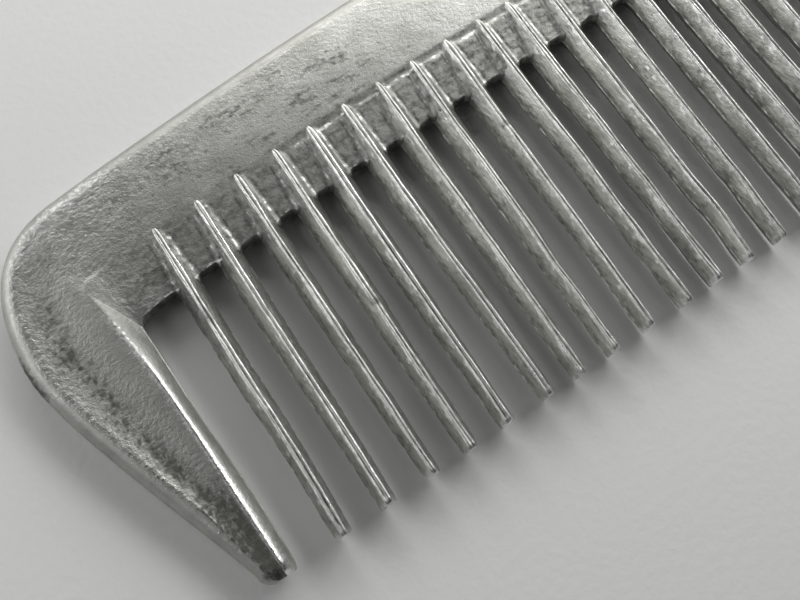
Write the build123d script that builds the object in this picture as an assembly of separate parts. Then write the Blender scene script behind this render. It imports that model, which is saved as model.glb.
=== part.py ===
"""One-piece cast aluminium grooming comb, built as the features it is cast from.

The comb lies flat: X runs along the row of teeth, Y from the tooth tips to the back, Z through
the thickness. It is the same on both sides of the mould's parting plane and mirrored left to right.
All sizes are in millimetres. Every node meets its neighbour on a full flat face.
"""

import os
from math import asin, degrees, sqrt

from build123d import *

# row of teeth
tooth_count = 36
tooth_pitch = 5.35
tooth_half_width_root = 1.55
tooth_half_width_tip = 1.02
crest_half_width = 0.43
tip_bevel_length = 0.8
tip_bevel_share = 0.72

# thickness, measured over both faces
spine_thickness = 4.4
tip_thickness = 3.4
web_edge_thickness = 1.6

# measured from the line of the tooth tips, at the middle of the comb
crest_length = 45.6
spine_width = 13.2
web_depth = 7.5
web_step_length = 1.0
web_step_drop = 0.55

# arcs of the back edge and of the line where the teeth leave the spine
back_radius = 690.0
root_radius = 1010.0

# broad tooth at each end: distances outward from the last tooth's middle
end_gap_root = 7.275
end_gap_mid = 6.275
end_gap_tip = 6.675
end_crest_root = 10.575
end_crest_mid = 8.575
end_crest_tip = 8.075
end_back_reach = 8.575
end_corner_reach = 17.975
end_widest_reach = 20.775
end_outer_mid_reach = 16.425
end_outer_tip_reach = 10.775

# broad tooth at each end: drops from the back edge, and heights above the tips
corner_drop = 5.59
widest_drop = 17.59
inner_mid_height = 17.0
outer_mid_height = 16.6
tip_corner_radius = 2.4
edge_round = 2.0

# each tooth leaves the spine on a short stub below the web
stub_length = 0.5
bury = 0.6
bury_drop = 0.05

half_thickness = spine_thickness / 2
half_tip = tip_thickness / 2
comb_height = crest_length + spine_width
root_height = crest_length - web_depth
row_half = (tooth_count - 1) / 2 * tooth_pitch
inner_root_x = row_half + end_gap_root
inner_mid_x = row_half + end_gap_mid
inner_tip_x = row_half + end_gap_tip
crest_root_x = row_half + end_crest_root
crest_mid_x = row_half + end_crest_mid
crest_tip_x = row_half + end_crest_tip
widest_x = row_half + end_widest_reach
beyond = 10.0


def arc_y(height, radius, x):
    """Height of an arched line at a distance x from the middle."""
    return height - (radius - sqrt(radius**2 - x**2))


def section(y, points):
    """A closed section in the plane across the comb at height y."""
    return Plane.XZ.offset(-y) * make_face(Polyline(*points, close=True))


def tooth_section(x, y, half_width, half_height):
    """Six-sided tooth section: narrow flat crests, widest on the parting plane."""
    return section(
        y,
        [
            (x + half_width, 0),
            (x + crest_half_width, half_height),
            (x - crest_half_width, half_height),
            (x - half_width, 0),
            (x - crest_half_width, -half_height),
            (x + crest_half_width, -half_height),
        ],
    )


def tooth_part(x, heights):
    """A straight stretch of one tooth, given the heights of its sections from the spine down."""
    start = arc_y(crest_length, root_radius, x)
    sections = []
    for y in heights:
        share = min(max((y - tip_bevel_length) / (start - tip_bevel_length), 0), 1.02)
        width = tooth_half_width_tip + share * (tooth_half_width_root - tooth_half_width_tip)
        height = half_tip + min(share, 1) * (half_thickness - bury_drop - half_tip)
        if y < tip_bevel_length:
            width = max(tip_bevel_share * width, crest_half_width + 0.1)
            height = tip_bevel_share * height
        sections.append(tooth_section(x, y, width, height))
    return loft(sections, ruled=True)


def inner_side_section(y, inner_x, crest_x, side):
    """Everything outward of the V-shaped inner side of an end tooth."""
    reach = 1.5
    far_x = inner_x + reach * (crest_x - inner_x)
    points = [
        ((widest_x + beyond) * side, reach * half_thickness),
        (far_x * side, reach * half_thickness),
        (inner_x * side, 0),
        (far_x * side, -reach * half_thickness),
        ((widest_x + beyond) * side, -reach * half_thickness),
    ]
    return section(y, points)


def end_side(side):
    """Solid that fills the outer side of an end tooth's inner flank."""
    stations = [
        inner_side_section(crest_length, inner_root_x, crest_root_x, side),
        inner_side_section(inner_mid_height, inner_mid_x, crest_mid_x, side),
        inner_side_section(-1, inner_tip_x, crest_tip_x, side),
    ]
    return loft(stations, ruled=True)


# plan outline of the spine, the web and both end teeth
back_end_x = row_half + end_back_reach
back_end_y = arc_y(comb_height, back_radius, back_end_x)
back_slope = back_end_x / sqrt(back_radius**2 - back_end_x**2)
back_end = (-back_end_x, back_end_y)
corner = (-row_half - end_corner_reach, back_end_y - corner_drop)
widest = (-widest_x, back_end_y - widest_drop)
outer_mid = (-row_half - end_outer_mid_reach, outer_mid_height)
outer_tip = (-row_half - end_outer_tip_reach, 0)
inner_tip = (-inner_tip_x, 0)
inner_mid = (-inner_mid_x, inner_mid_height)
inner_root = (-inner_root_x, arc_y(root_height, root_radius, inner_root_x))
left_side = [
    Spline(back_end, corner, widest, tangents=[(-1, -back_slope), (0, -1)]),
    Spline(widest, outer_mid, outer_tip, tangents=[(0, -1), (0.3, -1)]),
    Line(outer_tip, inner_tip),
    Line(inner_tip, inner_mid),
    Line(inner_mid, inner_root),
]
right_side = [edge.mirror(Plane.YZ) for edge in left_side]
back_line = ThreePointArc(back_end, (0, comb_height), (-back_end[0], back_end[1]))
root_line = ThreePointArc(inner_root, (0, root_height), (-inner_root[0], inner_root[1]))
plan = make_face(Curve() + left_side + right_side + [back_line, root_line])
tip_corners = plan.vertices().filter_by(lambda v: v.Y < 0.1 and abs(v.X) > crest_tip_x)
plan = fillet(tip_corners, tip_corner_radius)
blank = extrude(plan, half_thickness, both=True)


def on_outer_edge(edge):
    """True for the face edges along the back, the corners and the outer side of the end teeth."""
    middle = edge @ 0.5
    over_back = middle.Y > comb_height - 0.1
    outside = over_back or abs(middle.X) > min(crest_tip_x, crest_mid_x) - 0.1
    return abs(middle.Z) > half_thickness - 0.01 and outside


blank = fillet(blank.edges().filter_by(on_outer_edge), min(edge_round, half_thickness - 0.1))

# the faces of the end teeth taper towards their tips
taper_top = inner_root[1] + 2
taper_points = [
    (taper_top, half_thickness),
    (-1, half_tip),
    (-1, half_thickness + 1),
    (taper_top, half_thickness + 1),
]
taper = extrude(Plane.YZ * make_face(Polyline(*taper_points, close=True)), (widest_x + beyond), both=True)

# the web between the teeth falls from the spine's face to its thin lower edge
web_points = [
    (crest_length, half_thickness),
    (crest_length - web_step_length, half_thickness - web_step_drop),
    (root_height, web_edge_thickness / 2),
    (root_height - 2, web_edge_thickness / 2),
    (root_height - 2, half_thickness + 1),
    (crest_length, half_thickness + 1),
]
web_centre = Axis((0, crest_length - root_radius, 0), (0, 0, 1))
web_face = Plane.YZ * make_face(Polyline(*web_points, close=True))
web_angle = 2 * degrees(asin((crest_root_x + 2 * end_gap_root) / (root_radius - crest_length)))
web_cut = revolve(web_face, web_centre, web_angle).rotate(web_centre, -web_angle / 2)
side_reach = crest_root_x - inner_mid_x + 1
side_size = (2 * side_reach, taper_top + 1, 4 * half_thickness)
side_box = Pos(-inner_mid_x, (taper_top - 1) / 2) * Box(*side_size)

left_end = end_side(-1)
right_end = end_side(1)
web_cut = web_cut - left_end - right_end
left_cut = side_box - left_end
right_cut = mirror(left_cut, Plane.YZ)

body = blank - taper - mirror(taper, Plane.XY) - web_cut - mirror(web_cut, Plane.XY)
body = body - left_cut - right_cut

# split off the two end teeth on a flat face just below the web
end_joint_y = inner_root[1] - stub_length
end_box_inner_x = row_half + tooth_half_width_root + 0.5
end_box_size = (widest_x + beyond - end_box_inner_x, end_joint_y + beyond, beyond)
end_box_x = -(widest_x + beyond + end_box_inner_x) / 2
end_box = Pos(end_box_x, (end_joint_y - beyond) / 2) * Box(*end_box_size)
end_tooth_left = body & end_box
end_tooth_right = body & mirror(end_box, Plane.YZ)
spine = body - end_box - mirror(end_box, Plane.YZ)

# teeth
tooth_x = [i * tooth_pitch - row_half for i in range(tooth_count)]
teeth = []
stubs = []
for x in tooth_x:
    start_y = arc_y(crest_length, root_radius, x)
    joint_y = arc_y(root_height, root_radius, x) - stub_length
    stubs.append(tooth_part(x, [start_y + bury, joint_y]))
    teeth.append(tooth_part(x, [joint_y, tip_bevel_length, 0]))
spine = spine + stubs

nodes = {"spine": spine, "end_tooth_left": end_tooth_left, "end_tooth_right": end_tooth_right}
for number, tooth in enumerate(teeth, 1):
    nodes[f"tooth_{number:02d}"] = tooth

# stand the comb on its lower face, centred
os.makedirs("parts", exist_ok=True)
for name, shape in nodes.items():
    placed = Pos(0, -comb_height / 2, half_thickness) * shape
    placed.label = name
    export_step(placed, f"parts/{name}.step")
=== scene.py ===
from math import cos, pi, sin
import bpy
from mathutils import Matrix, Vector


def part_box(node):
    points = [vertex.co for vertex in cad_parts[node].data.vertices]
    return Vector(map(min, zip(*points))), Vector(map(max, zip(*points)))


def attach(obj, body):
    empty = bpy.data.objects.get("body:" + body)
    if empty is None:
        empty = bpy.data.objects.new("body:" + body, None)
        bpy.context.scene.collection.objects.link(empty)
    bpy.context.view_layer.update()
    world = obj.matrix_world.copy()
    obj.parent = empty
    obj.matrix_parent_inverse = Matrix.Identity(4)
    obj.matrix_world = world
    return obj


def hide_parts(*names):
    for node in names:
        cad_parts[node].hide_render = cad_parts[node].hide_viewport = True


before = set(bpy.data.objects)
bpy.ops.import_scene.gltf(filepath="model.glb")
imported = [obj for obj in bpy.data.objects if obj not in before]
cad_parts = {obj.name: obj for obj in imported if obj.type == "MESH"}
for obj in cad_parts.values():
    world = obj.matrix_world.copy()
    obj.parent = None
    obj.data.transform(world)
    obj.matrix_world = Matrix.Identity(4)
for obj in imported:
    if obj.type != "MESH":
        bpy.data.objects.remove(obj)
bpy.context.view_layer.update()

from types import SimpleNamespace

import bpy
import numpy as np
from mathutils import Matrix, Vector

# Lengths below are in millimetres and meshes are scaled to metres when they are made. Heights are
# measured from the line of the tooth tips, x from the middle of the comb and z from the parting plane.
MM = 0.001

# ---------------------------------------------------------------- what the CAD says
tooth_names = sorted(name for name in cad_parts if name.startswith("tooth_"))
tooth_boxes = [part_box(name) for name in tooth_names]
tooth_x = np.array([(low.x + high.x) / 2 / MM for low, high in tooth_boxes])
spine_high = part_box("spine")[1]
tips_y = tooth_boxes[0][0].y / MM
back_y = spine_high.y / MM
half = spine_high.z / MM / 2
pitch = tooth_x[1] - tooth_x[0]
row_half = tooth_x[-1]
widest_x = spine_high.x / MM
comb_height = back_y - tips_y

# ---------------------------------------------------------------- shape of the casting
back_radius = 690.0
root_radius = 1010.0
crest_length = 45.6
web_depth = 7.5
web_half = 0.8
tip_half = 1.7

# the spine's face dips at its rounded edge and falls towards the teeth; the end teeth have a trough
shoulder_drop = 0.05
face_drop = 0.42
trough_depth = 0.5
end_taper_height = 32.0

# the web: share of its depth above the rounded lower edge, share in that edge, radius beside a tooth
lip_start, lip_share = 0.945, 0.055
web_run = 7.0
dip_radius = 0.55

# teeth
tooth_taper_height = 41.0
root_half_width = 1.55
tip_half_width = 1.02
crest_half_width = 0.43
crest_drop = 0.05
crest_round = 0.17
nose_length = 1.9
tip_start = 0.75

# how far each tooth of the visible end stands off its even place, at its root and at its tip
root_shift = [-0.4, 0.1, 0.4, 0.6, 0.4, 0.3, 0.3, 0.3, 0.3, 0.3, -0.2]
tip_shift = [-0.7, -0.3, 0.2, 0.1, -0.1, 0.3, -0.3, -0.6, -0.5, -0.1, -0.5, -0.8, -0.8]
stray = np.random.default_rng(11)
root_shift = np.array(root_shift + list(stray.normal(0, 0.2, len(tooth_x) - len(root_shift))))
tip_shift = np.array(tip_shift + list(stray.normal(0, 0.28, len(tooth_x) - len(tip_shift))))

# small casting faults: tooth, height above the tips, sideways push, dent in the crest, length
faults = [(7, 12.0, -0.12, 0.02, 3.0), (8, 30.5, 0.0, 0.14, 0.45), (9, 22.0, 0.14, 0.0, 3.5),
          (11, 6.5, 0.28, 0.0, 3.2), (10, 14.0, 0.12, 0.03, 2.5), (3, 20.0, 0.06, 0.12, 0.8),
          (12, 9.0, 0.15, 0.05, 2.0), (1, 26.0, -0.06, 0.08, 0.7), (0, 28.5, 0.0, 0.12, 0.9)]


def arc_height(height, radius, x):
    """Height above the tips of an arched line, at a distance x from the middle."""
    return height - (radius - np.sqrt(radius**2 - np.square(x)))


def back_height(x):
    """Height of the spine's back edge."""
    return arc_height(comb_height, back_radius, x)


def crease_height(x):
    """Height of the line where the spine's face ends and the web begins."""
    return arc_height(crest_length, root_radius, x)


def root_height(x):
    """Height of the web's lower edge."""
    return arc_height(crest_length - web_depth, root_radius, x)


def tooth_middle(i, height):
    """x of tooth i's middle at a height above the tips."""
    share = np.clip(height / crest_length, 0, 1)
    return tooth_x[i] + tip_shift[i] + share * (root_shift[i] - tip_shift[i])


def tooth_half_width(height):
    """Half the width of a tooth on the parting plane."""
    return tip_half_width + (root_half_width - tip_half_width) * np.clip(height / tooth_taper_height, 0, 1)


def tooth_half_height(height):
    """Height of a tooth's crest above the parting plane."""
    return tip_half + (half - crest_drop - tip_half) * np.clip(height / tooth_taper_height, 0, 1)


def ease(low, high, value):
    """Smooth step from 0 at low to 1 at high."""
    t = np.clip((value - low) / (high - low), 0, 1)
    return t * t * (3 - 2 * t)


def hump(value, middle, width):
    """1 where the value is at the middle, falling smoothly to 0 on both sides."""
    return np.exp(-(((value - middle) / width) ** 2))


# ---------------------------------------------------------------- repeatable noise
def lattice(ix, iy, iz, seed):
    """A repeatable number from 0 to 1 for each corner of a cubic lattice."""
    h = (ix * 374761393 + iy * 668265263 + iz * 1442695041 + seed * 974711) & 0xFFFFFFFF
    h = ((h ^ (h >> 13)) * 1274126177) & 0xFFFFFFFF
    return ((h ^ (h >> 16)) & 0xFFFFFF) / float(0xFFFFFF)


def noise(points, size, seed):
    """Smooth noise from -1 to 1, with lumps about as wide as size."""
    p = np.asarray(points, float) / size
    cell = np.floor(p).astype(np.int64)
    f = p - cell
    f = f * f * f * (f * (f * 6 - 15) + 10)
    total = np.zeros(len(p))
    for dx in (0, 1):
        for dy in (0, 1):
            for dz in (0, 1):
                wx = f[:, 0] if dx else 1 - f[:, 0]
                wy = f[:, 1] if dy else 1 - f[:, 1]
                wz = f[:, 2] if dz else 1 - f[:, 2]
                corner = lattice(cell[:, 0] + dx, cell[:, 1] + dy, cell[:, 2] + dz, seed)
                total += wx * wy * wz * corner
    return total * 2 - 1


def layered(points, size, seed, layers=3, fall=0.55):
    """Noise in layers, each half as wide as the one before and weaker by the factor fall."""
    total, weight, sum_weight = 0, 1.0, 0
    for k in range(layers):
        total = total + weight * noise(points, size / 2**k, seed + 17 * k)
        sum_weight += weight
        weight *= fall
    return total / sum_weight


# ---------------------------------------------------------------- curves
def bezier(p0, p1, p2, p3, count, last=False):
    """Points of a cubic curve, with or without its last one."""
    t = np.linspace(0, 1, count, endpoint=last)[:, None]
    p0, p1, p2, p3 = (np.array(p, float) for p in (p0, p1, p2, p3))
    return (1 - t) ** 3 * p0 + 3 * t * (1 - t) ** 2 * p1 + 3 * t * t * (1 - t) * p2 + t**3 * p3


def even(points, count, last=False):
    """The same path, walked in even steps."""
    points = np.asarray(points, float)
    steps = np.linalg.norm(np.diff(points, axis=0), axis=1)
    along = np.concatenate([[0], np.cumsum(steps)])
    at = np.linspace(0, along[-1], count, endpoint=last)
    return np.stack([np.interp(at, along, points[:, k]) for k in (0, 1)], 1)


def path(points, count, last=False, rounds=2):
    """A path through corners that are cut round, walked in even steps."""
    points = np.asarray(points, float)
    for _ in range(rounds):
        a, b = points[:-1], points[1:]
        cut = np.stack([0.75 * a + 0.25 * b, 0.25 * a + 0.75 * b], 1).reshape(-1, 2)
        points = np.concatenate([points[:1], cut[1:-1], points[-1:]])
    return even(points, count, last)


# ---------------------------------------------------------------- outline of the spine and end teeth
# left end in plan: the outer edge, the crease that turns into the end tooth's ridge, the inner edge
nose_height = 1.6
widest = (-widest_x + 0.1, 33.6)
outer_tip = (-104.5, nose_height)
crease_corner, ridge_start, ridge_bend = (-100.2, 40.35), (-104.3, 38.6), (-103.35, 33.2)
ridge_tip = (-101.7, nose_height)
inner_corner, inner_start, inner_bend = (-99.3, 32.95), (-100.85, 32.0), (-100.75, 28.4)
inner_tip = (-100.2, nose_height)

# how many stations stand along the back beyond the last tooth, both halves of the corner, the end
# tooth and its tip, and how much of the end tooth's form is reached at the end of each of the first two
back_count, corner_count, bend_count, side_count, tip_count = 15, 31, 36, 98, 8
form_at_corner, form_at_bend = 0.12, 0.7

# where stations stand between a tooth's middle and the middle of the gap, as shares of that distance
station_shares = np.array([0.17, 0.26, 0.355, 0.45, 0.54, 0.635, 0.78, 0.92])


def end_outline(start):
    """Four lines in plan from x = -start outward round the left corner to the tip of the end tooth:
    the outer edge, the crease, the inner edge, and how much of the end tooth's form each place has.
    The last value closes the section at the tip."""
    first_x = -start
    back_end = (-row_half - 8.6, back_height(row_half + 8.6))
    corner_handles = (back_end[0] - 8.8, back_end[1] - 1.3), (widest[0], widest[1] + 9.9)
    corner = bezier(back_end, *corner_handles, widest, 200, True)
    side = bezier(widest, (widest[0], widest[1] - 6.3), (-106.1, 7.2), outer_tip, 200, True)
    # back edge beyond the last tooth
    outer = [even([(first_x, back_height(first_x)), back_end], back_count)]
    crease = [even([(first_x, crease_height(first_x)), crease_corner], back_count)]
    inner = [even([(first_x, root_height(first_x)), inner_corner], back_count)]
    end_form = [np.linspace(0, form_at_corner, back_count, endpoint=False)]
    # first half of the corner
    outer.append(even(corner[:101], corner_count))
    crease.append(path([crease_corner, (-103.6, 39.75), ridge_start], corner_count, rounds=3))
    inner.append(path([inner_corner, (-100.5, 32.75), inner_start], corner_count, rounds=3))
    end_form.append(np.linspace(form_at_corner, form_at_bend, corner_count, endpoint=False))
    # second half of the corner
    outer.append(even(corner[100:], bend_count))
    crease.append(even([ridge_start, ridge_bend], bend_count))
    inner.append(even([inner_start, inner_bend], bend_count))
    end_form.append(np.linspace(form_at_bend, 1, bend_count, endpoint=False))
    # end tooth
    ridge = [ridge_bend, (-102.55, 27.0), (-102.15, 20.0), (-102.0, 12.0), ridge_tip]
    flank = [inner_bend, (-100.75, 21.0), (-100.4, 15.0), (-100.15, 8.0), inner_tip]
    outer.append(even(side, side_count))
    crease.append(path(ridge, side_count))
    inner.append(path(flank, side_count))
    end_form.append(np.ones(side_count))
    # blunt tip
    turn = np.linspace(0, pi / 2, tip_count)
    drop = nose_height * (1 - np.sin(turn))
    outer.append(np.stack([outer_tip[0] + 1.5 * (1 - np.cos(turn)), drop], 1))
    crease.append(np.stack([ridge_tip[0] + 0 * turn, drop], 1))
    inner.append(np.stack([inner_tip[0] - 0.5 * (1 - np.cos(turn)), drop], 1))
    end_form.append(np.ones(tip_count))
    squash = np.ones(sum(len(part) for part in end_form))
    squash[-tip_count:] = np.cos(turn)
    squash[-1] = 0
    return [np.concatenate(part) for part in (outer, crease, inner, end_form)] + [squash]


def lay_out_frame():
    """The same lines from the left tip, over the whole row, to the right tip."""
    middles = tooth_middle(np.arange(len(tooth_x)), crest_length)
    bounds = (middles[1:] + middles[:-1]) / 2
    bounds = np.concatenate([[middles[0] - pitch / 2], bounds, [middles[-1] + pitch / 2]])
    x = []
    for i, middle in enumerate(middles):
        left, right = middle - bounds[i], bounds[i + 1] - middle
        x += [middle - left * t for t in station_shares[::-1]] + [middle]
        x += [middle + right * t for t in station_shares] + [bounds[i + 1]]
    x = np.array(x[:-1])
    row = [np.stack([x, height(x)], 1) for height in (back_height, crease_height, root_height)]
    row += [np.zeros(len(x)), np.ones(len(x))]
    left = end_outline(-bounds[0])
    right = end_outline(bounds[-1])
    flip = np.array([-1, 1])
    lines = []
    for a, b, c in zip(left, row, right):
        c = c * flip if c.ndim == 2 else c
        lines.append(np.concatenate([a[::-1], b, c]))
    return lines


# ---------------------------------------------------------------- surface of the spine and end teeth
# rows of points from the outer edge inward: rounded edge, face, web, rounded lower edge of the web
round_steps, face_steps, web_steps, lip_steps = 9, 34, 26, 5
across = round_steps + face_steps + web_steps + lip_steps + 1
dip_steps = 6
far_above_crease = -99.0


def nearest_tooth(x):
    """Index of the tooth nearest to each x."""
    return np.abs(x[:, None] - tooth_x[None]).argmin(1)


def burr_distance(run):
    """How far from a tooth's middle its fillet meets the web, at a distance below the crease."""
    return 0.8 + 0.65 * np.clip(run / web_run, 0, 1)


def edge_rows(outer, shoulder, face_half):
    """The rounded outer edge, from the parting plane up to the face."""
    rows = []
    for k in range(round_steps):
        turn = k / round_steps * pi / 2
        flat = outer + (shoulder - outer) * (1 - cos(turn))
        rows.append(np.column_stack([flat, (face_half - shoulder_drop) * sin(turn)]))
    return rows


def face_rows(shoulder, crease, face_half, on_end, squash):
    """The face: a crown that falls towards the teeth, and a trough on the end teeth."""
    rows = []
    deep = trough_depth * ease(-1.0, 14.0, crease[:, 1])
    for k in range(face_steps):
        u = k / face_steps
        flat = shoulder + (crease - shoulder) * u
        crown = -shoulder_drop * (1 - u) ** 4 - face_drop * u**2.4
        hollow = -shoulder_drop * (1 - u) ** 4 - deep * np.sin(pi * min(u / 0.93, 1) ** 0.8) ** 2
        z = face_half + (crown * (1 - on_end) + hollow * on_end) * squash
        rows.append(np.column_stack([flat, z]))
    return rows


def web_height(top, run, ledge):
    """Height of the plain web: a small step under the spine's face, then a slope to its thin edge."""
    step = (-0.24 * ease(-0.3, 0.85, run) + 0.09 * ease(0.8, 1.3, run)) * ledge
    slope = np.clip((run - 1.3 * ledge) / (6.9 - 1.3 * ledge), 0, 1)
    fall = (web_half + 0.15 * ledge - half + face_drop) * slope ** (1.25 - 0.25 * ledge)
    return top + step + fall


def fillet_lift(z, flat, off, run):
    """How far the web rises beside a tooth to meet its flank in a fillet."""
    width, height = tooth_half_width(flat[:, 1]), tooth_half_height(flat[:, 1])
    side = height * (width - off) / (width - crest_half_width)
    soft = 0.3 + 0.6 * np.clip(run / web_run, 0, 1)
    near = np.clip(soft - np.abs(z - side), 0, None) / soft
    joined = np.maximum(z, side) + near**2 * soft / 4
    joined = np.minimum(joined, height - 0.15) - 0.12 * ease(0.15, 0.6, side - z)
    return np.clip(joined - z, 0, None) * ease(0.1, 0.9, run)


def web_relief(flat, off, run, nearest, between, plain):
    """Ragged burr where the fillet meets the web, and cast streaks across the web's lower part."""
    burr = hump(off, burr_distance(run), 0.13) * ease(0.6, 1.6, run)
    ragged = np.clip(0.5 + noise(np.column_stack([flat, nearest * 3.0]), 0.6, 71), 0, 1.2)
    streak_place = np.column_stack([flat[:, 0] * 0.7, flat[:, 1] * 1.7, 0 * run])
    streak = layered(streak_place, 0.75, 73, 2, 0.8) * ease(1.6, 4.8, run) * ease(7.2, 6.6, run)
    return np.where(between, 0.09 * burr * ragged, 0) + np.where(plain, 0.045 * streak, 0)


def edge_dip(flat, off):
    """How far the web's lower edge dips beside a tooth, with some unevenness."""
    gap = np.clip(off - tooth_half_width(flat[:, 1]), 0, dip_radius)
    dip = dip_radius - np.sqrt(np.clip(dip_radius**2 - (dip_radius - gap) ** 2, 0, None))
    zero = 0 * gap
    return dip + 0.14 * noise(np.column_stack([flat[:, 0], zero, zero + 9]), 0.9, 79)


def web_rows(crease, inner, end_form, squash, face_half, on_end, nearest):
    """The web between the teeth and the inner flank of the end teeth, with each row's distance below
    the crease."""
    depth = np.linalg.norm(inner - crease, axis=1)
    from_end = np.abs(crease[:, 0]) - row_half
    ledge = ease(-1.6 * pitch, -4.6 * pitch, from_end) * (1 - end_form)
    top = face_half - face_drop * (1 - on_end) * squash
    flank_share = ease(0.1, 0.95, end_form)
    between = end_form < 0.01
    total = web_steps + lip_steps
    rows, runs = [], []
    for k in range(total + 1):
        turn = max(k - web_steps, 0) / lip_steps * pi / 2
        u = lip_start + lip_share * sin(turn) if turn else (k / web_steps) ** 1.1 * lip_start
        edge_round = cos(turn)
        flat = crease + (inner - crease) * u
        run = u * depth
        off = np.abs(flat[:, 0] - tooth_middle(nearest, flat[:, 1]))
        flank = face_half * (1 - 0.86 * np.clip(u / lip_start, 0, 1) ** 1.7)
        z = (web_height(top, run, ledge) * (1 - flank_share) + flank * flank_share) * edge_round
        z = z + np.where(between, fillet_lift(z, flat, off, run), 0) * edge_round
        z = z + web_relief(flat, off, run, nearest, between, end_form < 0.5) * edge_round
        if k > web_steps - dip_steps:
            flat[:, 1] -= np.where(between, edge_dip(flat, off) * ease(web_steps - dip_steps, total, k), 0)
        if k == total:
            z = 0 * z
        rows.append(np.column_stack([flat, z]))
        runs.append(run)
    return rows, runs


def frame_sheet():
    """Upper surface of the spine, the web and the end teeth, as a grid of points (height above the
    parting plane in the last column), with the end form and the distance below the crease."""
    outer, crease, inner, end_form, squash = lay_out_frame()
    inward = crease - outer
    face_length = np.linalg.norm(inward, axis=1)
    inward /= face_length[:, None]
    taper = np.clip(inner[:, 1] / end_taper_height, 0, 1)
    face_half = np.minimum(half, tip_half + (half - tip_half) * taper) * squash
    on_end = ease(0.3, 0.95, end_form)
    band = (2.1 - 0.25 * end_form) * np.clip(face_length / 5.5, 0.4, 1)
    shoulder = outer + inward * band[:, None]
    rows = edge_rows(outer, shoulder, face_half) + face_rows(shoulder, crease, face_half, on_end, squash)
    runs = [np.full(len(outer), far_above_crease)] * round_steps
    runs += [np.full(len(outer), (k / face_steps - 1) * 10) for k in range(face_steps)]
    nearest = nearest_tooth(outer[:, 0])
    lower_rows, lower_runs = web_rows(crease, inner, end_form, squash, face_half, on_end, nearest)
    return np.stack(rows + lower_rows, 1), end_form, np.stack(runs + lower_runs, 1)


def grid_normals(grid):
    """Unit normals of the grid, pointing up."""
    along = np.gradient(grid, axis=0)
    between = np.gradient(grid, axis=1)
    n = np.cross(between, along)
    n /= np.maximum(np.linalg.norm(n, axis=2, keepdims=True), 1e-9)
    return n if n[len(grid) // 2, round_steps + 9, 2] > 0 else -n


# ---------------------------------------------------------------- marks on the spine and end teeth
def survey(flat, form, run, column, sheet):
    """What the marks need to know about each point of one sheet of the spine, web and end teeth."""
    s = SimpleNamespace(form=form, run=run, column=column, spine=1 - form)
    s.x, s.h = flat[:, 0], flat[:, 1]
    s.layer = np.full(len(flat), 50.0 * sheet)
    s.edge = column < round_steps
    s.web = column >= round_steps + face_steps
    s.face = ~s.edge & ~s.web
    s.u = np.clip((column - round_steps) / face_steps, 0, 1)
    s.corner = ease(row_half - 6, row_half + 5, np.abs(s.x))
    s.low_end = ease(20, 8, s.h)
    # streaks lie along the spine, and down the end teeth
    along = layered(stretched(s, 0.45, 2.0), 1.3, 101, 3, 0.7)
    down = layered(stretched(s, 1.3, 0.5), 1.5, 103, 3, 0.7)
    s.streaks = along * s.spine + down * form
    # burr beside each tooth
    s.nearest = nearest_tooth(s.x)
    s.from_burr = np.abs(s.x - tooth_middle(s.nearest, s.h)) - burr_distance(run)
    s.between = s.web * (form < 0.01)
    s.burr = hump(s.from_burr, 0, 0.16) * ease(0.6, 1.6, run) * s.between
    return s


def stretched(s, x_scale, h_scale):
    """The points' places, scaled for noise that is longer one way than the other."""
    return np.column_stack([s.x * x_scale, s.h * h_scale, s.layer])


def frame_dirt_and_shade(s):
    """Dirt: streaks on the spine, most in the trough of the end teeth, and on the web; and painted shade
    just outside each burr.
    """
    patches = layered(stretched(s, 0.45, 1), 6.0, 107, 2)
    scratches = layered(stretched(s, 0.7, 2.4), 0.8, 131, 3, 0.8)
    spine_face = s.face * s.spine
    end_face = s.form * s.face
    streaky = ease(-0.1, 1.1, s.streaks * 1.2 + patches * 0.8 + scratches * 0.9)
    dirt_and_shade = np.where(s.face, 0.68 * streaky, 0.0) * ease(0.0, 0.2, s.u) * (1 - 0.5 * s.corner * s.spine)
    near_end = ease(-50, -64, s.x) * ease(-104, -92, s.x)
    lines = ease(0.05, 0.6, 0.6 * s.streaks + 0.7 * scratches)
    dirt_and_shade = np.maximum(dirt_and_shade, spine_face * near_end * 0.4 * lines * ease(0.1, 0.3, s.u))
    # a grimy patch near the visible end, with a trail along the spine
    patch = hump(s.x, -89.0, 4.5) * hump(s.h, 47.5, 2.6)
    trail = 0.85 * hump(s.x, -79.0, 9.0) * hump(s.h, 49.5, 2.0)
    grime = np.clip(0.7 + 2.0 * scratches, 0, 1) * np.maximum(patch, trail)
    dirt_and_shade = np.maximum(dirt_and_shade, 0.95 * spine_face * grime)
    # the trough of the end teeth holds the most
    pits = layered(stretched(s, 1.5, 1), 0.8, 127, 3, 0.85)
    trough = np.maximum(hump(s.u, 0.32, 0.24) * end_face, end_face * s.low_end * ease(1.0, 0.85, s.u))
    dirt_and_shade = dirt_and_shade * s.spine + end_face * (0.12 + 0.2 * np.clip(s.streaks, 0, 1))
    dirt_and_shade = np.maximum(dirt_and_shade, trough * np.clip(0.7 + 0.3 * s.low_end + 0.4 * s.streaks + pits, 0, 1))
    # darker towards the crease and over the web
    dirt_and_shade = np.maximum(dirt_and_shade, spine_face * ease(0.7, 1.0, s.u) * (0.12 + 0.3 * s.corner))
    dirt_and_shade = np.where(s.web, np.maximum(0.5, 0.68 * ease(5.2, 7.4, s.run)) * s.spine, dirt_and_shade)
    dirt_and_shade = dirt_and_shade + s.web * 0.45 * s.streaks * s.spine
    # clean on each burr; painted shade in a dark band just outside it
    dirt_and_shade = dirt_and_shade * (1 - 0.8 * s.burr)
    moat = hump(s.from_burr, 0.42, 0.2) * ease(0.4, 1.4, s.run) * s.between
    return np.maximum(dirt_and_shade, 0.9 * moat)


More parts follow.
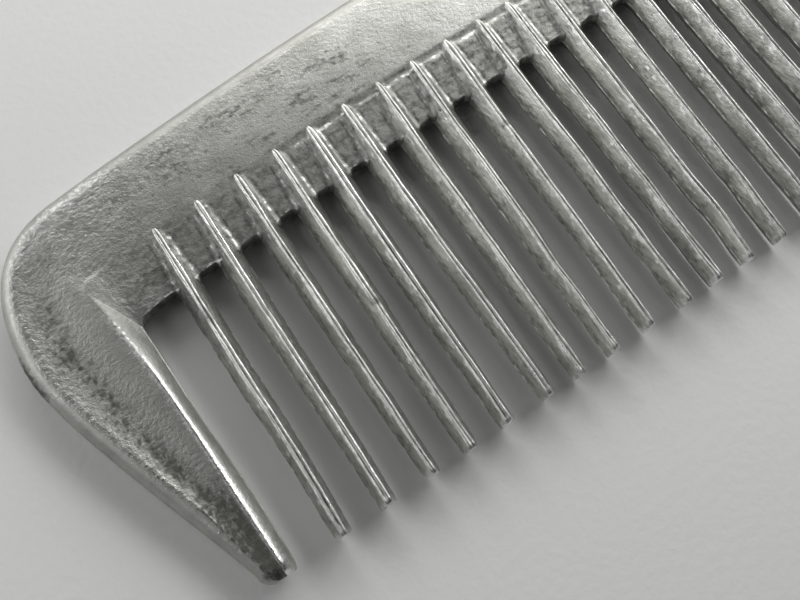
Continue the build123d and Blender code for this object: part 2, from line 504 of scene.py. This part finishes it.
def frame_wear_and_highlights(s):
    """Wear by handling and painted highlights: the rounded edge, the ridge of the end teeth and the web's
    lower edge are worn and painted with highlight lines, the ledge under the spine gets a painted glint,
    and the burrs are worn.
    """
    shoulder_width = 1.3 + 3.2 * s.corner * s.spine
    # the rounded edge is worn and also painted with a highlight line
    shoulder = hump(s.column - round_steps, 0.5, shoulder_width) * ease(14, 26, s.h)
    wear_and_highlight = shoulder * (0.2 + 0.45 * s.corner * s.spine + 0.35 * s.form)
    # painted glint: a bright strip on the ledge under the spine's face
    glint = hump(s.run, 0.98, 0.3) * ease(row_half - 8, row_half - 24, np.abs(s.x)) * s.web
    glint = glint * np.clip(0.4 + 0.6 * layered(stretched(s, 1, 2), 1.2, 109, 2), 0, 1)
    # the end teeth's ridge is worn and also painted with a highlight
    ridge = hump(s.run, 0.15, 0.75) * ease(0.8, 1.0, s.form) * (0.75 + 0.2 * ease(30, 15, s.h))
    ragged = np.clip(0.55 + noise(np.column_stack([s.x, s.h, s.nearest * 3.0]), 0.6, 71), 0, 1)
    # the web's lower edge is worn and also painted with a highlight line
    lower_edge = s.web * (s.column == across - 1 - lip_steps) * (s.form < 0.4)
    lower_edge = lower_edge * np.clip(0.35 + 0.9 * s.streaks, 0, 0.8)
    for more in (glint, ridge, s.burr * ragged, lower_edge):
        wear_and_highlight = np.maximum(wear_and_highlight, more)
    return wear_and_highlight


def frame_grain(s):
    """Grain: coarse at the corners, fine on the rounded edge and on the end teeth's ridge."""
    grain = np.where(s.edge, 0.15 + 0.2 * s.corner, 0.35 + 0.65 * s.corner)
    return grain * (1 - 0.6 * ease(0.62, 0.9, s.u) * s.form)


def frame_dullness(s):
    """Dullness: rounded edge, spine near the visible end, web, faces and root of the end teeth."""
    dull = np.where(s.edge, 0.5 - 0.15 * ease(0.3, 1.0, s.form), 0.0)
    spine_end = 0.5 * s.face * s.spine * ease(-40, -80, s.x) * ease(0.3, 0.7, s.u)
    web = s.web * s.spine * (0.35 + 0.4 * ease(row_half - 70, row_half - 15, np.abs(s.x)))
    end_face = s.form * s.face * (0.65 + 0.25 * s.low_end) * ease(0.02, 0.15, s.u)
    end_root = 0.8 * s.web * ease(0.3, 0.6, s.form) * ease(25, 31, s.h)
    for more in (spine_end, web, end_face, end_root):
        dull = np.maximum(dull, more)
    return dull


# ---------------------------------------------------------------- meshes
def add_object(name, data):
    """A new object in the scene."""
    thing = bpy.data.objects.new(name, data)
    bpy.context.scene.collection.objects.link(thing)
    return thing


def make_object(name, points, faces, marks):
    """A mesh object from points in millimetres, with four marks for each point: dirt and painted shade,
    wear and painted highlights, grain and dullness."""
    mesh = bpy.data.meshes.new(name)
    mesh.from_pydata((np.asarray(points) * MM).tolist(), [], faces)
    mesh.update()
    layer = mesh.color_attributes.new("surface", "FLOAT_COLOR", "POINT")
    values = np.clip(marks, 0, 1).astype(np.float32)
    layer.data.foreach_set("color", values.ravel())
    mesh.shade_smooth()
    return add_object(name, mesh)


def cast_texture(flat, normals, form, column, sheet):
    """The sheet's points, moved along their normals by a pebbled cast skin and slow waves."""
    place = flat + [0, 0, 40 * sheet]
    corner = ease(row_half - 8, row_half + 4, np.abs(flat[:, 0]))
    spine_pebble = layered(place * [0.6, 1.6, 1], 0.8, 3, 2, 0.8)
    end_pebble = 0.7 * layered(place, 0.55, 4, 2, 0.8)
    pebble = spine_pebble * (1 - form) + end_pebble * form
    waves = layered(place, 8.0, 5, 2)
    off_edge = 0.2 + 0.8 * ease(round_steps - 3, round_steps + 2, column)
    smooth_ridge = 1 - 0.75 * ease(0.42, 0.72, (column - round_steps) / face_steps) * form
    amount = pebble * (0.011 + 0.02 * corner) * off_edge * smooth_ridge + waves * 0.045
    amount = amount * ease(-0.5, 3.0, flat[:, 1])
    rim_distance = np.minimum(column, across - 1 - column)
    return flat + normals * (amount * np.clip(rim_distance / 3, 0, 1))[:, None]


def add_scar(top, marks, column):
    """Gate scar on the outer edge of the left end tooth."""
    scar = np.exp(-(((top[:, 1] - 33.0) / 3.4) ** 6)) * (top[:, 0] < -row_half) * ease(7, 3, column)
    rough = layered(top, 0.8, 91, 2, 0.8)
    top[:, 0] -= scar * (0.02 + 0.08 * rough) * (column > 0)
    marks[:, 0] = np.maximum(marks[:, 0], scar)
    marks[:, 1] *= 1 - scar


def top_faces(top, stations):
    """Quads of the upper sheet, and whether they had to be turned to face up."""
    s, t = np.meshgrid(np.arange(stations - 1), np.arange(across - 1), indexing="ij")
    a = (s * across + t).ravel()
    quads = np.stack([a, a + 1, a + across + 1, a + across], 1)
    middle = top[quads[(stations // 2) * (across - 1) + 20]]
    turned = np.cross(middle[1] - middle[0], middle[3] - middle[0])[2] < 0
    return (quads[:, ::-1] if turned else quads).tolist(), turned


def bottom_faces(stations, turned):
    """The underside as a coarser sheet on the same rim: which of its points are kept, and its faces.
    Kept points are numbered after those of the upper sheet."""
    last_s, last_c = stations - 1, across - 1
    station_steps = sorted(set(range(0, stations, 2)) | {last_s})
    column_steps = list(range(0, across, 2))
    index, keep = {}, []
    for s in station_steps:
        for c in column_steps:
            if s not in (0, last_s) and c not in (0, last_c):
                index[s, c] = stations * across + len(keep)
                keep.append(s * across + c)
    faces = []
    for s0, s1 in zip(station_steps, station_steps[1:]):
        for c0, c1 in zip(column_steps, column_steps[1:]):
            loop = [(s0, c) for c in (range(c0, c1) if s0 == 0 else (c0,))]
            loop += [(s, c1) for s in (range(s0, s1) if c1 == last_c else (s0,))]
            loop += [(s1, c) for c in (range(c1, c0, -1) if s1 == last_s else (c1,))]
            loop += [(s, c0) for s in (range(s1, s0, -1) if c0 == 0 else (s1,))]
            face = [index.get(corner, corner[0] * across + corner[1]) for corner in loop]
            faces.append(face if turned else face[::-1])
    return keep, faces


def build_frame_piece():
    """The spine, the web and both end teeth as one closed mesh."""
    grid, end_form, runs = frame_sheet()
    stations = len(grid)
    normals = grid_normals(grid).reshape(-1, 3)
    column = np.tile(np.arange(across), stations)
    form = np.repeat(end_form, across)
    sheets, sheet_marks = [], []
    for sheet, sign in enumerate((1, -1)):
        flat = grid.reshape(-1, 3)
        spots = survey(flat, form, runs.ravel(), column, sheet)
        marks = [frame_dirt_and_shade(spots), frame_wear_and_highlights(spots), frame_grain(spots), frame_dullness(spots)]
        flat = cast_texture(flat, normals, form, column, sheet)
        flat[:, 2] *= sign
        sheets.append(flat)
        sheet_marks.append(np.column_stack(marks))
    top, bottom = sheets
    top_marks, bottom_marks = sheet_marks
    add_scar(top, top_marks, column)
    rim = (column == 0) | (column == across - 1)
    rim[:across] = rim[-across:] = True
    top[rim, 2] = 0
    faces, turned = top_faces(top, stations)
    keep, lower_faces = bottom_faces(stations, turned)
    points = np.concatenate([top, bottom[keep]])
    marks = np.concatenate([top_marks, bottom_marks[keep]])
    points[:, 1] += tips_y
    points[:, 2] = np.clip(points[:, 2] + half, 0.0, 2 * half)
    return make_object("comb_frame", points, faces + lower_faces, marks)


# ---------------------------------------------------------------- teeth
# shares of the flank climbed, and places across half the crest
flank_steps = [0.0, 0.04, 0.14, 0.28, 0.42, 0.56, 0.7, 0.83, 0.93]
land_steps = [1.0, 0.88, 0.72, 0.54, 0.38, 0.24, 0.1]

# sections of the blunt tip: height above the tips, and size as a share of a full section
tip_sections = [(0.42, 0.99), (0.18, 0.94), (0.05, 0.85), (0.0, 0.74)]
nose_sections, body_sections = 10, 104


def tooth_loop():
    """Share of the flank climbed, place across the crest, and side (+1 upper, -1 lower), round one
    section of a tooth."""
    land = land_steps + [-u for u in land_steps[::-1]]
    upper = [(f, 1, 1) for f in flank_steps] + [(1.0, u, 1) for u in land]
    upper += [(f, -1, 1) for f in flank_steps[:0:-1]]
    lower = [(f, -1, -1) for f in flank_steps] + [(1.0, -u, -1) for u in land]
    lower += [(f, 1, -1) for f in flank_steps[:0:-1]]
    return np.array(upper + lower)


def tooth_sections(start):
    """Heights of a tooth's sections from its start on the spine to its tip, and their sizes."""
    nose = start - nose_length * np.linspace(0, 1, nose_sections, endpoint=False) ** 1.5
    body = np.linspace(start - nose_length, tip_start, body_sections)
    tip_heights, tip_sizes = zip(*tip_sections)
    full = np.ones(nose_sections + body_sections)
    return np.concatenate([nose, body, tip_heights]), np.concatenate([full, tip_sizes])


def tooth_faults(i, h):
    """Sideways push and dent in the crest from the casting faults of tooth i."""
    push, dent = 0 * h, 0 * h
    for tooth, at, sideways, deep, length in faults:
        if tooth == i:
            share = hump(h, at, length)
            push, dent = push + sideways * share, dent + deep * share
    return push, dent


def tooth_surface(i):
    """Points of tooth i, section by section, with what its marks need to know about each point."""
    loop = tooth_loop()
    start = crease_height(tooth_x[i]) + 0.3
    heights, sizes = tooth_sections(start)
    wobble = stray.normal(0, 1, 6)
    h, size = np.repeat(heights, len(loop)), np.repeat(sizes, len(loop))
    f, u, side = (np.tile(loop[:, k], len(heights)) for k in range(3))
    level = np.column_stack([0 * h + 7.3 * i, h, 0 * h])
    width = tooth_half_width(h) * (1 + 0.03 * wobble[0] + 0.035 * noise(level, 4.5, 23))
    high = tooth_half_height(h) * (1 + 0.012 * wobble[1])
    crest = crest_half_width * (0.98 + 0.06 * wobble[2] + 0.16 * noise(level, 3.5, 29))
    # the crest stands up from the spine in a round nose
    t = np.clip((start - h) / nose_length, 0, 1)
    nose = np.sqrt(1 - (1 - t) ** 2)
    crest = crest * (0.42 + 0.58 * nose)
    high = high * (0.77 + 0.23 * nose)
    # flanks bulge a little; a groove runs along the crest
    bulge = 0.10 * np.sin(pi * f) * np.clip(h / 20, 0.4, 1)
    across_x = np.where(f < 1, u * (width + (crest - width) * f + bulge), crest * u)
    groove_depth = (0.17 + 0.03 * wobble[3]) * (0.75 + 0.5 * noise(level, 5.0, 33))
    groove_depth = groove_depth * ease(0.3, 1.5, start - h)
    groove_at = 0.12 * wobble[4]
    land_z = high - crest_round * np.abs(u) ** 5 - groove_depth * hump(u, groove_at, 0.3)
    z = np.where(f < 1, (high - crest_round) * f, land_z)
    push, dent = tooth_faults(i, h)
    z = z - dent * ease(0.6, 1.0, f) * (side > 0)
    # blunt, slightly slanting tip
    slant = 0.16 * wobble[5] * across_x + 0.10 * np.abs(z) / 1.7 * (1 if i % 3 else -1)
    y = h + ease(2.5, 0.0, h) * slant
    z = side * z * size
    bend = 0.09 * noise(level, 12.0, 21) + 0.025 * noise(level, 3.0, 22)
    x = tooth_middle(i, h) + across_x * size + push + bend * ease(40, 30, h)
    points = np.column_stack([x, y, z])
    # cast skin, and a ragged burr on the parting line
    n = np.column_stack([across_x / 1.5, 0 * h, z / 2.2])
    n /= np.maximum(np.linalg.norm(n, axis=1), 1e-6)[:, None]
    lumps = layered(points * [1, 0.6, 1] + [0, 0, 60], 1.8, 31, 2)
    skin = layered(points * [1, 0.6, 1], 0.7, 37, 2, 0.8)
    ragged = noise(points * [1, 1, 0] + [0, 0, 3 * i], 0.7, 41)
    burr = (f == 0) * (0.04 + 0.035 * ragged)
    points = points + n * (0.04 * lumps * (f < 1) + 0.02 * skin + burr)[:, None]
    points[:, 1] = np.maximum(points[:, 1], 0.0)
    points[:, 2] = np.clip(points[:, 2], -half, half)
    upper_dent = dent * 6 * (f > 0.9) * (side > 0)
    return SimpleNamespace(points=points, h=h, f=f, u=u, groove_at=groove_at, dent=dent, ragged=ragged,
                           upper_dent=upper_dent, from_start=start - h, loop_size=len(loop))


def tooth_marks(s):
    """Dirt on the flanks, with painted shade darkening them towards the parting line and in the crest's
    groove; wear and painted highlights on the two lines of the crest, the upper flanks and the tip; wear
    on the burr.
    """
    blot = layered(s.points * [1, 0.35, 1] + [0, 0, 90], 1.6, 43, 3, 0.7)
    on_crest, on_flank = s.f == 1, s.f < 1
    in_groove = on_crest * hump(s.u, s.groove_at, 0.27)
    # painted shade: the flanks darken towards the parting line, and the crest's groove is darkened
    dirt_and_shade = np.where(on_flank, 0.27 + 0.26 * blot + 0.3 * (1 - s.f), in_groove + 0.1 * blot)
    dirt_and_shade = np.maximum(dirt_and_shade, s.upper_dent) * (0.35 + 0.65 * ease(0.4, 2.0, s.h))
    # the two crest lines are worn and also painted with highlights
    line = on_crest * hump(np.abs(s.u), 0.75, 0.33) * np.clip(0.85 + 0.5 * blot, 0.4, 1)
    speck = noise(s.points * [1, 0.55, 1] + [0, 0, 30], 0.42, 47)
    wear_and_highlight = np.maximum(line, (s.f < 0.05) * np.clip(0.4 + s.ragged, 0, 1))
    # upper flanks get bright specks of wear and a painted highlight
    wear_and_highlight = np.maximum(wear_and_highlight, on_flank * ease(0.3, 0.95, s.f) * np.clip(0.1 + 1.1 * speck, 0, 1))
    wear_and_highlight = wear_and_highlight * np.clip(1 - s.dent * 6, 0, 1) * (0.35 + 0.65 * ease(0.2, 2.0, s.from_start))
    # the tips are worn and also painted with a highlight
    wear_and_highlight = np.maximum(wear_and_highlight, ease(1.6, 0.2, s.h) * np.clip(0.7 + blot, 0, 1))
    grain = np.where(on_flank, 0.95, 0.45)
    return np.column_stack([dirt_and_shade, wear_and_highlight, grain, 0 * s.f])


def close_tube(points, marks, size):
    """Faces of a tube of sections with size points each. Both ends are closed round a middle point,
    which is added to the points and marks."""
    rows = len(points) // size
    a = np.arange(size)
    b = np.roll(a, -1)
    faces = []
    for r in range(rows - 1):
        base, low = r * size, (r + 1) * size
        faces += np.stack([base + a, base + b, low + b, low + a], 1).tolist()
    for r, first, second in ((0, b, a), (rows - 1, a, b)):
        middle = len(points)
        points = np.vstack([points, points[r * size:(r + 1) * size].mean(0)])
        marks = np.vstack([marks, marks[r * size:(r + 1) * size].mean(0)])
        faces += np.stack([np.full(size, middle), r * size + first, r * size + second], 1).tolist()
    q = points[faces[0]]
    outward = np.cross(q[1] - q[0], q[3] - q[0])
    if outward @ (q[0] - points[:size].mean(0)) < 0:
        faces = [face[::-1] for face in faces]
    return points, marks, faces


def build_tooth(i):
    """Tooth i as one closed mesh."""
    surface = tooth_surface(i)
    points, marks, faces = close_tube(surface.points, tooth_marks(surface), surface.loop_size)
    points[:, 1] += tips_y
    points[:, 2] += half
    return make_object(f"comb_{tooth_names[i]}", points, faces, marks)


# ---------------------------------------------------------------- shader nodes
def map_range(tree, value, low, high, out_low=0.0, out_high=1.0):
    """A value from low to high, turned into one from out_low to out_high."""
    node = tree.nodes.new("ShaderNodeMapRange")
    tree.links.new(value, node.inputs["Value"])
    limits = {"From Min": low, "From Max": high, "To Min": out_low, "To Max": out_high}
    for socket, number in limits.items():
        node.inputs[socket].default_value = number
    return node.outputs["Result"]


def maths(tree, kind, a, b, clamp=True):
    """A sum on two values; either can be a number or another node's output."""
    node = tree.nodes.new("ShaderNodeMath")
    node.operation = kind
    node.use_clamp = clamp
    for socket, value in zip(node.inputs, (a, b)):
        if isinstance(value, (int, float)):
            socket.default_value = value
        else:
            tree.links.new(value, socket)
    return node.outputs[0]


def blend(tree, factor, a, b):
    """A mix of two colours; either can be a colour or another node's output."""
    node = tree.nodes.new("ShaderNodeMix")
    node.data_type = "RGBA"
    tree.links.new(factor, node.inputs[0])
    for socket, value in ((node.inputs[6], a), (node.inputs[7], b)):
        if isinstance(value, tuple):
            socket.default_value = value
        else:
            tree.links.new(value, socket)
    return node.outputs[2]


def pattern(tree, place, scale, detail, rough=0.5):
    """Noise at a place."""
    node = tree.nodes.new("ShaderNodeTexNoise")
    node.inputs["Scale"].default_value = scale
    node.inputs["Detail"].default_value = detail
    node.inputs["Roughness"].default_value = rough
    tree.links.new(place, node.inputs["Vector"])
    return node.outputs["Fac"]


def bump(tree, height, distance):
    """A bump node driven by a height."""
    node = tree.nodes.new("ShaderNodeBump")
    node.inputs["Distance"].default_value = distance
    tree.links.new(height, node.inputs["Height"])
    return node


# ---------------------------------------------------------------- materials
# the dark colour paints dirt and painted shade; the bright colour paints wear and painted highlights
dirt_and_shade_colour = (0.115, 0.115, 0.102, 1)
dull_colour = (0.26, 0.26, 0.245, 1)
worn_and_highlight_colour = (0.93, 0.93, 0.91, 1)
noise_span = (0.3, 0.7)


def specked(tree, mark, gain, specks):
    """A mark as specks that close up where there is more of it."""
    over = maths(tree, "SUBTRACT", maths(tree, "MULTIPLY", mark, gain, False), specks)
    return maths(tree, "MULTIPLY", over, 1.1)


def cast_metal(name, stretch, clean_dark, clean_light):
    """Satin cast aluminium. The mesh's marks say where dirt and painted shade darken it, where wear and
    painted highlights brighten it, and where it is grainy and dull.
    """
    material = bpy.data.materials.new(name)
    material.use_nodes = True
    tree = material.node_tree
    nodes, links = tree.nodes, tree.links
    shader = nodes["Principled BSDF"]
    place = nodes.new("ShaderNodeTexCoord")
    scaled = nodes.new("ShaderNodeMapping")
    scaled.inputs["Scale"].default_value = stretch
    links.new(place.outputs["Object"], scaled.inputs["Vector"])
    spot = scaled.outputs["Vector"]
    marks = nodes.new("ShaderNodeAttribute")
    marks.attribute_name = "surface"
    split = nodes.new("ShaderNodeSeparateColor")
    links.new(marks.outputs["Color"], split.inputs["Color"])
    dirt_and_shade, wear_and_highlight, grain = split.outputs["Red"], split.outputs["Green"], split.outputs["Blue"]
    dull = marks.outputs["Alpha"]

    cloud = pattern(tree, spot, 260, 5, 0.65)
    speckle = pattern(tree, spot, 1500, 4, 0.65)
    # dark specks for dirt, also painting shade on the teeth and beside the burrs
    dirty_and_shaded = specked(tree, dirt_and_shade, 1.4, map_range(tree, speckle, *noise_span))
    bright_specks = map_range(tree, pattern(tree, spot, 2100, 3, 0.6), 0.68, 0.32)
    # bright specks for wear, also painting highlights on edges, crest lines and the ledge glint
    bright = specked(tree, wear_and_highlight, 1.5, bright_specks)

    clean = blend(tree, map_range(tree, cloud, *noise_span), clean_dark, clean_light)
    colour = blend(tree, dull, clean, dull_colour)
    colour = blend(tree, dirty_and_shaded, colour, dirt_and_shade_colour)
    colour = blend(tree, bright, colour, worn_and_highlight_colour)
    links.new(colour, shader.inputs["Base Color"])

    rough = map_range(tree, speckle, *noise_span, 0.33, 0.47)
    rough = maths(tree, "ADD", rough, maths(tree, "MULTIPLY", dirty_and_shaded, 0.2))
    rough = maths(tree, "ADD", rough, maths(tree, "MULTIPLY", dull, 0.22))
    rough = maths(tree, "SUBTRACT", rough, maths(tree, "MULTIPLY", bright, 0.1))
    links.new(rough, shader.inputs["Roughness"])
    links.new(map_range(tree, dirty_and_shaded, 0.2, 1.0, 1.0, 0.7), shader.inputs["Metallic"])

    pebbles = bump(tree, pattern(tree, spot, 1900, 2, 0.55), 0.0001)
    links.new(maths(tree, "MULTIPLY", grain, 0.9), pebbles.inputs["Strength"])
    fine = bump(tree, pattern(tree, spot, 5600, 2, 0.6), 0.00006)
    fine.inputs["Strength"].default_value = 0.6
    links.new(pebbles.outputs["Normal"], fine.inputs["Normal"])
    links.new(fine.outputs["Normal"], shader.inputs["Normal"])
    return material


def table_top():
    """Pale painted board with a faint peel."""
    material = bpy.data.materials.new("table")
    material.use_nodes = True
    tree = material.node_tree
    shader = tree.nodes["Principled BSDF"]
    shader.inputs["Base Color"].default_value = (0.80, 0.80, 0.79, 1)
    shader.inputs["Roughness"].default_value = 0.5
    place = tree.nodes.new("ShaderNodeTexCoord")
    peel = bump(tree, pattern(tree, place.outputs["Object"], 900, 2), 0.0001)
    peel.inputs["Strength"].default_value = 0.4
    tree.links.new(peel.outputs["Normal"], shader.inputs["Normal"])
    return material


# ---------------------------------------------------------------- the comb
frame_metal = cast_metal("cast_aluminium", (0.95, 1.05, 1.0), (0.45, 0.45, 0.42, 1), (0.66, 0.66, 0.63, 1))
# the teeth's copy of the same cast metal is a little darker than the spine's: painted shade
tooth_shaded_colours = (0.42, 0.42, 0.39, 1), (0.62, 0.62, 0.59, 1)
tooth_metal = cast_metal("cast_aluminium_teeth", (1.2, 0.6, 1.2), *tooth_shaded_colours)

frame_piece = build_frame_piece()
frame_piece.data.materials.append(frame_metal)
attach(frame_piece, "root")
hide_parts("spine", "end_tooth_left", "end_tooth_right")
for i, name in enumerate(tooth_names):
    tooth = build_tooth(i)
    tooth.data.materials.append(tooth_metal)
    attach(tooth, "root")
    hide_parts(name)

# ---------------------------------------------------------------- table
reach = 3.0
corners = [(-reach, -reach, 0), (reach, -reach, 0), (reach, reach, 0), (-reach, reach, 0)]
table_mesh = bpy.data.meshes.new("table")
table_mesh.from_pydata(corners, [], [(0, 1, 2, 3)])
table_mesh.materials.append(table_top())
table = add_object("table", table_mesh)

# ---------------------------------------------------------------- light
# soft room light: brightest at a low angle, dim overhead, dimmer in front and brighter on the left
sky_stops = [(0.0, 0.55), (0.25, 1.0), (0.6, 0.34), (0.88, 0.13)]
sky_front_to_back = (-0.6, 0.3, 0.05, 0.34)
sky_left_to_right = (-0.9, 0.2, 1.45, 1.0)


def light_sky():
    """The room as a world whose brightness changes with direction."""
    world = bpy.data.worlds.new("studio")
    bpy.context.scene.world = world
    world.use_nodes = True
    tree = world.node_tree
    nodes, links = tree.nodes, tree.links
    background = nodes["Background"]
    place = nodes.new("ShaderNodeTexCoord")
    split = nodes.new("ShaderNodeSeparateXYZ")
    ramp = nodes.new("ShaderNodeValToRGB")
    links.new(place.outputs["Generated"], split.inputs["Vector"])
    links.new(split.outputs["Z"], ramp.inputs["Fac"])
    links.new(ramp.outputs["Color"], background.inputs["Color"])
    stops = ramp.color_ramp.elements
    stops[0].position, stops[1].position = sky_stops[0][0], sky_stops[-1][0]
    for at, _ in sky_stops[1:-1]:
        stops.new(at)
    for stop, (_, level) in zip(stops, sky_stops):
        stop.color = (level * 0.97, level * 0.985, level, 1)
    depth = map_range(tree, split.outputs["Y"], *sky_front_to_back)
    side = map_range(tree, split.outputs["X"], *sky_left_to_right)
    links.new(maths(tree, "MULTIPLY", depth, side, False), background.inputs["Strength"])


def area_light(name, place, aim, size, power, colour=(1, 1, 1)):
    """A rectangular lamp that points at aim and isn't seen itself."""
    data = bpy.data.lights.new(name, "AREA")
    data.shape = "RECTANGLE"
    data.size, data.size_y = size
    data.energy = power
    data.color = colour
    lamp = add_object(name, data)
    lamp.location = place
    lamp.visible_camera = False
    lamp.rotation_euler = (Vector(aim) - Vector(place)).to_track_quat("-Z", "Y").to_euler()


light_sky()
# a window behind the comb, a smaller one beyond its left end, two weak lamps above, a faint one in front
visible_part = (-0.07, 0.0, 0.0)
visible_end = (-0.08, 0.0, 0.0)
warm = (1.0, 0.995, 0.98)
area_light("window", (0.14, 0.30, 0.19), visible_part, (0.50, 0.19), 1.40, warm)
area_light("side", (-0.32, 0.32, 0.17), visible_end, (0.30, 0.16), 0.50)
area_light("left_high", (-0.36, 0.10, 0.26), visible_end, (0.25, 0.20), 0.20)
area_light("right_high", (0.24, 0.08, 0.26), visible_part, (0.25, 0.12), 0.40)
area_light("front", (0.05, -0.36, 0.34), visible_part, (0.08, 0.08), 0.05)
bpy.context.scene.view_settings.view_transform = "Standard"

# ---------------------------------------------------------------- camera
camera_at = Vector((-0.1001, -0.0348, 0.1080))
camera_aim = Vector((-0.0738, -0.0098, 0.0))
camera_right = Vector((0.8264, -0.5585, 0.0715))
forward = (camera_aim - camera_at).normalized()
right = (camera_right - camera_right.dot(forward) * forward).normalized()
up = right.cross(forward)
camera_data = bpy.data.cameras.new("camera")
camera_data.sensor_width = 36
camera_data.lens = 42.75
camera_data.clip_start = 0.005
camera = add_object("camera", camera_data)
camera.matrix_world = Matrix.Translation(camera_at) @ Matrix((right, up, -forward)).transposed().to_4x4()
bpy.context.scene.camera = camera
